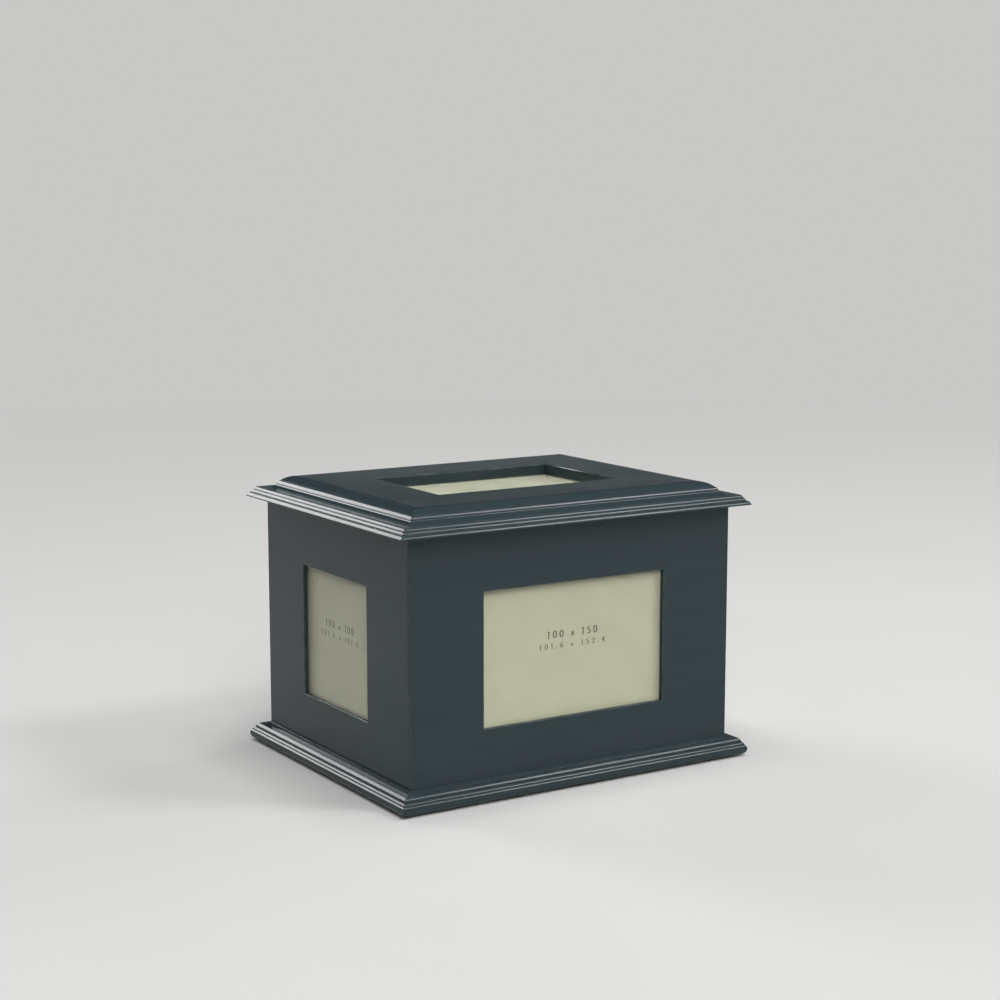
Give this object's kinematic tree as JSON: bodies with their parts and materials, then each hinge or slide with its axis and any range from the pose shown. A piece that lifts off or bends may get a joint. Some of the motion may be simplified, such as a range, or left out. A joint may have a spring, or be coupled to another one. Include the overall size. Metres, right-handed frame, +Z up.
{
  "type": "photo storage box",
  "caption": "Lacquered wooden photo box: hinged moulded lid, mitred walls on a moulded foot, and a framed glass window for a print in the lid, the front and each side.",
  "frame": {"origin": "centre of the footprint on the surface that the felt pads stand on", "axes": "+Z up, the front with the wide window faces -Y, the lid hinges along the back (+Y), +X to the right seen from the front"},
  "size_m": [0.2704, 0.2196, 0.1885],
  "materials": {
    "lacquered_wood": "satin",
    "bottom_board": "matte",
    "backing_board": "matte",
    "window_glass": "gloss",
    "insert_card": "matte",
    "brass": "satin",
    "felt": "matte"
  },
  "bodies": {
    "case": {"back_wall": "lacquered_wood", "bottom_panel": "bottom_board", "case_hinge_leaf_left": "brass", "case_hinge_leaf_right": "brass", "case_hinge_screws": "brass", "felt_pads": "felt", "foot_moulding_back": "lacquered_wood", "foot_moulding_front": "lacquered_wood", "foot_moulding_left": "lacquered_wood", "foot_moulding_right": "lacquered_wood", "front_backing_board": "backing_board", "front_button_screws": "brass", "front_glass": "window_glass", "front_insert_card": "insert_card", "front_wall": "lacquered_wood", "hinge_pin_left": "brass", "hinge_pin_right": "brass", "left_backing_board": "backing_board", "left_button_screws": "brass", "left_glass": "window_glass", "left_insert_card": "insert_card", "left_wall": "lacquered_wood", "right_backing_board": "backing_board", "right_button_screws": "brass", "right_glass": "window_glass", "right_insert_card": "insert_card", "right_wall": "lacquered_wood"},
    "lid": {"lid_backing_board": "backing_board", "lid_button_screws": "brass", "lid_glass": "window_glass", "lid_hinge_leaf_left": "brass", "lid_hinge_leaf_right": "brass", "lid_hinge_screws": "brass", "lid_insert_card": "insert_card", "lid_rail_back": "lacquered_wood", "lid_rail_front": "lacquered_wood", "lid_rail_left": "lacquered_wood", "lid_rail_right": "lacquered_wood"},
    "front_turn_button_upper": {"front_turn_button_upper": "brass"},
    "front_turn_button_lower": {"front_turn_button_lower": "brass"},
    "left_turn_button_upper": {"left_turn_button_upper": "brass"},
    "left_turn_button_lower": {"left_turn_button_lower": "brass"},
    "right_turn_button_upper": {"right_turn_button_upper": "brass"},
    "right_turn_button_lower": {"right_turn_button_lower": "brass"},
    "lid_turn_button_front": {"lid_turn_button_front": "brass"},
    "lid_turn_button_back": {"lid_turn_button_back": "brass"}
  },
  "joints": [
    {"name": "lid_hinge", "type": "hinge", "parent": "case", "child": "lid", "pos_m": [0, 0.1016, 0.17335], "axis": [-1, 0, 0], "range_deg": [0, 108]},
    {"name": "front_turn_button_upper_pivot", "type": "hinge", "parent": "case", "child": "front_turn_button_upper", "pos_m": [0, -0.0898, 0.1461], "axis": [0, 1, 0], "continuous": true},
    {"name": "front_turn_button_lower_pivot", "type": "hinge", "parent": "case", "child": "front_turn_button_lower", "pos_m": [0, -0.0898, 0.0335], "axis": [0, 1, 0], "continuous": true},
    {"name": "left_turn_button_upper_pivot", "type": "hinge", "parent": "case", "child": "left_turn_button_upper", "pos_m": [-0.1152, 0, 0.1461], "axis": [1, 0, 0], "continuous": true},
    {"name": "left_turn_button_lower_pivot", "type": "hinge", "parent": "case", "child": "left_turn_button_lower", "pos_m": [-0.1152, 0, 0.0335], "axis": [1, 0, 0], "continuous": true},
    {"name": "right_turn_button_upper_pivot", "type": "hinge", "parent": "case", "child": "right_turn_button_upper", "pos_m": [0.1152, 0, 0.1461], "axis": [-1, 0, 0], "continuous": true},
    {"name": "right_turn_button_lower_pivot", "type": "hinge", "parent": "case", "child": "right_turn_button_lower", "pos_m": [0.1152, 0, 0.0335], "axis": [-1, 0, 0], "continuous": true},
    {"name": "lid_turn_button_front_pivot", "type": "hinge", "parent": "lid", "child": "lid_turn_button_front", "pos_m": [0, -0.0563, 0.1735], "axis": [0, 0, -1], "continuous": true},
    {"name": "lid_turn_button_back_pivot", "type": "hinge", "parent": "lid", "child": "lid_turn_button_back", "pos_m": [0, 0.0563, 0.1735], "axis": [0, 0, -1], "continuous": true}
  ]
}
